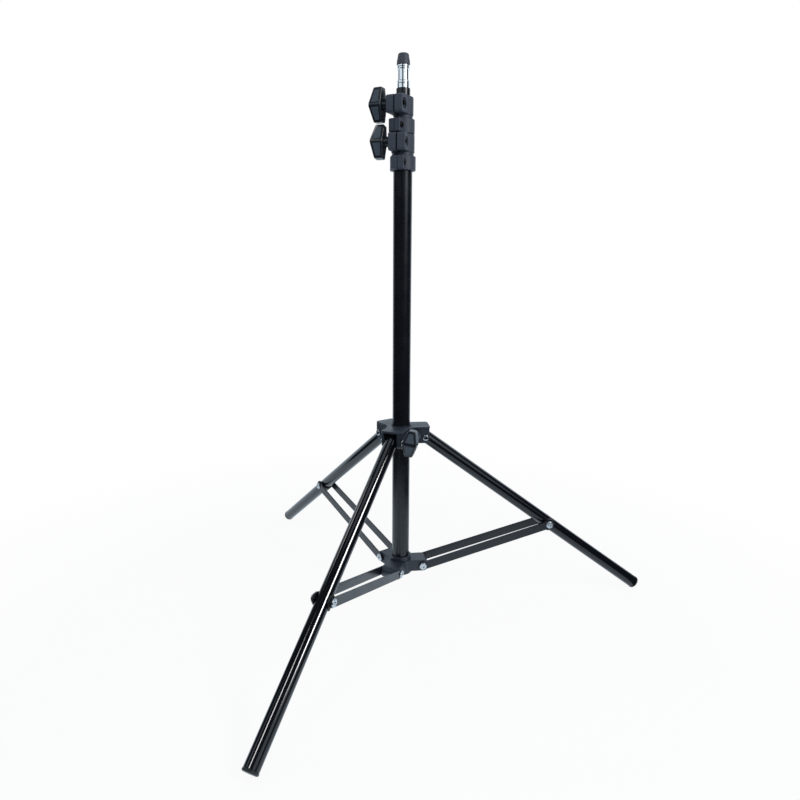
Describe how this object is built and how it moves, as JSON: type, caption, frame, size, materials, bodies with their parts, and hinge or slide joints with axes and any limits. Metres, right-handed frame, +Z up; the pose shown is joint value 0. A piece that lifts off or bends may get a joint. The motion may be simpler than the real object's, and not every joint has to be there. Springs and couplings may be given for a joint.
{
  "type": "light stand",
  "caption": "Folding tripod light stand with a telescoping tube column, clamp knobs, a sliding leg collar, flat braces and a capped stud for a lamp.",
  "frame": {"origin": "on the floor, under the middle of the open stand's outline", "axes": "+Z up along the column, -Y towards leg 1"},
  "size_m": [0.6574, 0.572, 0.7583],
  "materials": {
    "black_tube": "black anodised, satin",
    "clamp_moulding": "moulded glass-filled nylon, fine grain",
    "collar_moulding": "moulded glass-filled nylon, satin",
    "knob_moulding": "moulded, semi-gloss",
    "black_plastic": "moulded, satin",
    "brace_steel": "dark grey coated flat steel",
    "zinc_plate": "bright zinc plated steel",
    "bright_plate": "turned steel, bright plated",
    "black_screw": "black oxide steel"
  },
  "bodies": {
    "column": {"outer_tube": "black_tube", "column_end_plug": "black_plastic", "lower_collar": "collar_moulding", "base_clamp": "clamp_moulding", "base_clamp_screw": "black_screw", "base_clamp_nut": "black_screw", "lower_rivet_1": "zinc_plate", "lower_rivet_2": "zinc_plate", "lower_rivet_3": "zinc_plate"},
    "middle_section": {"middle_tube": "black_tube", "middle_guide_bush": "black_plastic", "top_clamp": "clamp_moulding", "top_clamp_screw": "black_screw", "top_clamp_nut": "black_screw"},
    "top_section": {"top_tube": "black_tube", "top_guide_bush": "black_plastic", "spigot": "bright_plate"},
    "stud_cap": {"stud_cap": "black_plastic"},
    "base_knob": {"base_knob": "knob_moulding", "base_knob_bolt": "zinc_plate"},
    "top_knob": {"top_knob": "knob_moulding", "top_knob_bolt": "zinc_plate"},
    "leg_collar": {"leg_collar": "collar_moulding", "upper_rivet_1": "zinc_plate", "upper_rivet_2": "zinc_plate", "upper_rivet_3": "zinc_plate"},
    "collar_knob": {"wing_knob": "knob_moulding", "wing_bolt": "zinc_plate"},
    "leg_1": {"leg_tube_1": "black_tube", "leg_foot_1": "black_plastic", "leg_saddle_1": "black_plastic", "saddle_pin_1": "zinc_plate"},
    "brace_1": {"brace_bar_1a": "brace_steel", "brace_bar_1b": "brace_steel", "brace_rivet_1a": "zinc_plate", "brace_rivet_1b": "zinc_plate"},
    "leg_2": {"leg_tube_2": "black_tube", "leg_foot_2": "black_plastic", "leg_saddle_2": "black_plastic", "saddle_pin_2": "zinc_plate"},
    "brace_2": {"brace_bar_2a": "brace_steel", "brace_bar_2b": "brace_steel", "brace_rivet_2a": "zinc_plate", "brace_rivet_2b": "zinc_plate"},
    "leg_3": {"leg_tube_3": "black_tube", "leg_foot_3": "black_plastic", "leg_saddle_3": "black_plastic", "saddle_pin_3": "zinc_plate"},
    "brace_3": {"brace_bar_3a": "brace_steel", "brace_bar_3b": "brace_steel", "brace_rivet_3a": "zinc_plate", "brace_rivet_3b": "zinc_plate"}
  },
  "joints": [
    {"name": "middle_section_slide", "type": "slide", "parent": "column", "child": "middle_section", "axis": [0, 0, 1], "range_m": [0, 0.52]},
    {"name": "top_section_slide", "type": "slide", "parent": "middle_section", "child": "top_section", "axis": [0, 0, 1], "range_m": [0, 0.52]},
    {"name": "stud_cap_lift", "type": "slide", "parent": "top_section", "child": "stud_cap", "axis": [0, 0, 1], "range_m": [0, 0.02]},
    {"name": "base_knob_turn", "type": "hinge", "parent": "column", "child": "base_knob", "pos_m": [0.00153, 0.07218, 0.651], "axis": [-0.9969, -0.0785, 0], "range_deg": [0, 360]},
    {"name": "top_knob_turn", "type": "hinge", "parent": "middle_section", "child": "top_knob", "pos_m": [-0.00119, 0.07215, 0.6958], "axis": [-0.9981, 0.061, 0], "range_deg": [0, 360]},
    {"name": "collar_slide", "type": "slide", "parent": "column", "child": "leg_collar", "axis": [0, 0, 1], "range_m": [0, 0.23904]},
    {"name": "collar_knob_turn", "type": "hinge", "parent": "leg_collar", "child": "collar_knob", "pos_m": [0.02492, 0.09601, 0.263], "axis": [0.1736, -0.9848, 0], "range_deg": [0, 360]},
    {"name": "leg_1_hinge", "type": "hinge", "parent": "leg_collar", "child": "leg_1", "pos_m": [0, 0.05809, 0.258], "axis": [1, 0, 0], "range_deg": [0, 53.5]},
    {"name": "brace_1_hinge", "type": "hinge", "parent": "column", "child": "brace_1", "pos_m": [0, 0.05942, 0.0604], "axis": [-1, 0, 0], "range_deg": [0, 73.16]},
    {"name": "leg_2_hinge", "type": "hinge", "parent": "leg_collar", "child": "leg_2", "pos_m": [0.02904, 0.10838, 0.258], "axis": [-0.5, 0.866, 0], "range_deg": [0, 53.5]},
    {"name": "brace_2_hinge", "type": "hinge", "parent": "column", "child": "brace_2", "pos_m": [0.02789, 0.10772, 0.0604], "axis": [0.5, -0.866, 0], "range_deg": [0, 73.16]},
    {"name": "leg_3_hinge", "type": "hinge", "parent": "leg_collar", "child": "leg_3", "pos_m": [-0.02904, 0.10838, 0.258], "axis": [-0.5, -0.866, 0], "range_deg": [0, 53.5]},
    {"name": "brace_3_hinge", "type": "hinge", "parent": "column", "child": "brace_3", "pos_m": [-0.02789, 0.10772, 0.0604], "axis": [0.5, 0.866, 0], "range_deg": [0, 73.16]}
  ],
  "couplings": [
    {"joint": "leg_1_hinge", "follows": "collar_slide", "rad_per_m": 3.9049},
    {"joint": "brace_1_hinge", "follows": "collar_slide", "rad_per_m": 5.3403},
    {"joint": "leg_2_hinge", "follows": "collar_slide", "rad_per_m": 3.9049},
    {"joint": "brace_2_hinge", "follows": "collar_slide", "rad_per_m": 5.3403},
    {"joint": "leg_3_hinge", "follows": "collar_slide", "rad_per_m": 3.9049},
    {"joint": "brace_3_hinge", "follows": "collar_slide", "rad_per_m": 5.3403}
  ]
}
